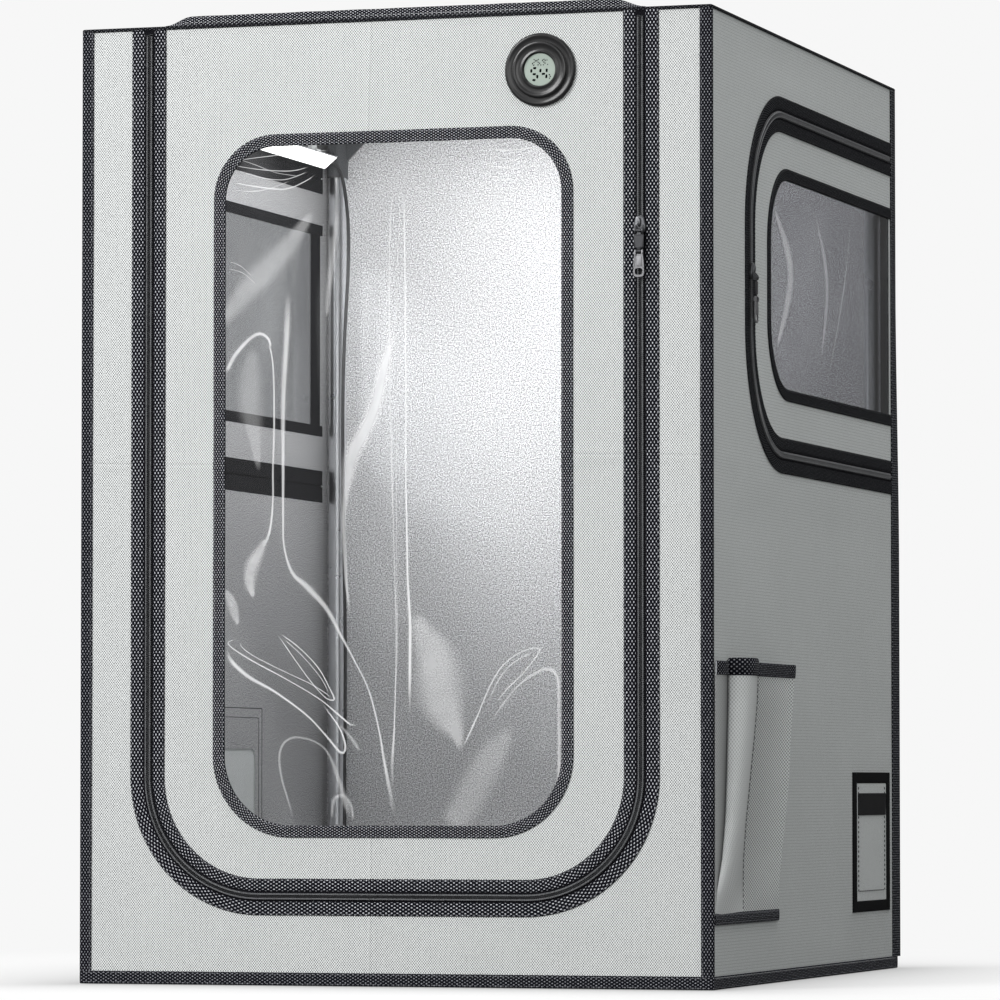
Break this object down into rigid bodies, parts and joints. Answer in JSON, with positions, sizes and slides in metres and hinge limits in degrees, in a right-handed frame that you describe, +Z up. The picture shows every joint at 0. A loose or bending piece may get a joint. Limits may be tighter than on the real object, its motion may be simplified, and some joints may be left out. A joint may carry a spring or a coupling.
{
  "type": "printer enclosure tent",
  "caption": "Fabric printer enclosure over a steel tube frame, with zipped window doors on the front and sides, cable ports, a side pocket, a hygrometer and an inside light bar.",
  "frame": {"origin": "centre of the base on the floor", "axes": "+Z up, +X to the viewer's right, -Y out of the front door"},
  "size_m": [0.5825, 0.6268, 0.8075],
  "materials": {
    "frame_steel": "satin",
    "connector_plastic": "matte",
    "lined_fabric": "matte",
    "pocket_fabric": "matte",
    "flap_fabric": "matte",
    "hook_and_loop": "matte",
    "edge_webbing": "matte",
    "zip_chain": "satin",
    "slider_metal": "satin",
    "window_film": "gloss",
    "gauge_plastic": "satin",
    "gauge_display": "gloss",
    "gauge_board": "matte",
    "gauge_cells": "satin",
    "led_aluminium": "satin",
    "led_diffuser": "matte",
    "led_strip": "matte",
    "led_clip": "matte",
    "led_lead": "matte"
  },
  "bodies": {
    "enclosure": {"base_edge_webbing": "edge_webbing", "cable_port_frames": "edge_webbing", "corner_webbing": "edge_webbing", "door_opening_webbing": "edge_webbing", "floor_sheet": "lined_fabric", "frame_corner_connectors": "connector_plastic", "frame_depth_rails": "frame_steel", "frame_posts": "frame_steel", "frame_width_rails": "frame_steel", "front_wall_panel": "lined_fabric", "front_zip_wall_half": "zip_chain", "led_channel": "led_aluminium", "led_diffuser": "led_diffuser", "led_power_lead": "led_lead", "led_rail_clips": "led_clip", "led_strip": "led_strip", "left_wall_panel": "lined_fabric", "left_zip_wall_half": "zip_chain", "pocket_panel": "pocket_fabric", "pocket_webbing": "edge_webbing", "rear_wall_panel": "lined_fabric", "right_wall_panel": "lined_fabric", "right_zip_wall_half": "zip_chain", "roof_edge_webbing": "edge_webbing", "roof_front_hem": "edge_webbing", "roof_panel": "lined_fabric"},
    "front_door": {"front_door_panel": "lined_fabric", "front_window_film": "window_film", "front_window_webbing": "edge_webbing", "front_door_edge_webbing": "edge_webbing", "front_zip_door_half": "zip_chain", "hygrometer_mounting_ring": "gauge_plastic", "hygrometer_case": "gauge_plastic", "hygrometer_lcd": "gauge_display", "hygrometer_circuit_board": "gauge_board", "hygrometer_button_cells": "gauge_cells", "hygrometer_battery_cover": "gauge_plastic"},
    "front_slider": {"front_slider_body": "slider_metal"},
    "front_pull_link": {"front_slider_pull_link": "slider_metal"},
    "front_pull_tab": {"front_slider_pull_tab": "slider_metal"},
    "right_door": {"right_door_panel": "lined_fabric", "right_window_film": "window_film", "right_window_webbing": "edge_webbing", "right_door_edge_webbing": "edge_webbing", "right_zip_door_half": "zip_chain"},
    "right_slider": {"right_slider_body": "slider_metal"},
    "right_pull_link": {"right_slider_pull_link": "slider_metal"},
    "right_pull_tab": {"right_slider_pull_tab": "slider_metal"},
    "right_flap": {"right_port_flap": "flap_fabric", "right_port_hook_strip": "hook_and_loop"},
    "left_door": {"left_door_panel": "lined_fabric", "left_window_film": "window_film", "left_window_webbing": "edge_webbing", "left_door_edge_webbing": "edge_webbing", "left_zip_door_half": "zip_chain"},
    "left_slider": {"left_slider_body": "slider_metal"},
    "left_pull_link": {"left_slider_pull_link": "slider_metal"},
    "left_pull_tab": {"left_slider_pull_tab": "slider_metal"},
    "left_flap": {"left_port_flap": "flap_fabric", "left_port_hook_strip": "hook_and_loop"}
  },
  "joints": [
    {"name": "front_door_lift", "type": "hinge", "parent": "enclosure", "child": "front_door", "pos_m": [0, -0.31, 0.7978], "axis": [-1, 0, 0], "range_deg": [0, 150]},
    {"name": "right_door_swing", "type": "hinge", "parent": "enclosure", "child": "right_door", "pos_m": [0.275, 0.292, 0.58825], "axis": [0, 0, 1], "range_deg": [0, 160]},
    {"name": "left_door_swing", "type": "hinge", "parent": "enclosure", "child": "left_door", "pos_m": [-0.275, 0.292, 0.58825], "axis": [0, 0, -1], "range_deg": [0, 160]},
    {"name": "front_zip_slide", "type": "slide", "parent": "front_door", "child": "front_slider", "axis": [0, 0, 1], "range_m": [-0.44, 0.085]},
    {"name": "right_zip_slide", "type": "slide", "parent": "right_door", "child": "right_slider", "axis": [0, 0, 1], "range_m": [-0.036, 0.031]},
    {"name": "left_zip_slide", "type": "slide", "parent": "left_door", "child": "left_slider", "axis": [0, 0, 1], "range_m": [-0.036, 0.031]},
    {"name": "front_pull_link_swing", "type": "hinge", "parent": "front_slider", "child": "front_pull_link", "pos_m": [0.214, -0.3146, 0.6162], "axis": [-1, 0, 0], "range_deg": [0, 120]},
    {"name": "front_pull_tab_swing", "type": "hinge", "parent": "front_pull_link", "child": "front_pull_tab", "pos_m": [0.214, -0.3146, 0.5992], "axis": [-1, 0, 0], "range_deg": [0, 50]},
    {"name": "right_pull_link_swing", "type": "hinge", "parent": "right_slider", "child": "right_pull_link", "pos_m": [0.2796, -0.192, 0.5862], "axis": [0, -1, 0], "range_deg": [0, 120]},
    {"name": "right_pull_tab_swing", "type": "hinge", "parent": "right_pull_link", "child": "right_pull_tab", "pos_m": [0.2796, -0.192, 0.5692], "axis": [0, -1, 0], "range_deg": [0, 50]},
    {"name": "left_pull_link_swing", "type": "hinge", "parent": "left_slider", "child": "left_pull_link", "pos_m": [-0.2796, -0.192, 0.5862], "axis": [0, 1, 0], "range_deg": [0, 120]},
    {"name": "left_pull_tab_swing", "type": "hinge", "parent": "left_pull_link", "child": "left_pull_tab", "pos_m": [-0.2796, -0.192, 0.5692], "axis": [0, 1, 0], "range_deg": [0, 50]},
    {"name": "right_flap_turn", "type": "hinge", "parent": "enclosure", "child": "right_flap", "pos_m": [0.275, 0.214, 0.0628], "axis": [0, 1, 0], "range_deg": [0, 120]},
    {"name": "left_flap_turn", "type": "hinge", "parent": "enclosure", "child": "left_flap", "pos_m": [-0.275, 0.066, 0.1248], "axis": [0, -1, 0], "range_deg": [0, 120]}
  ]
}
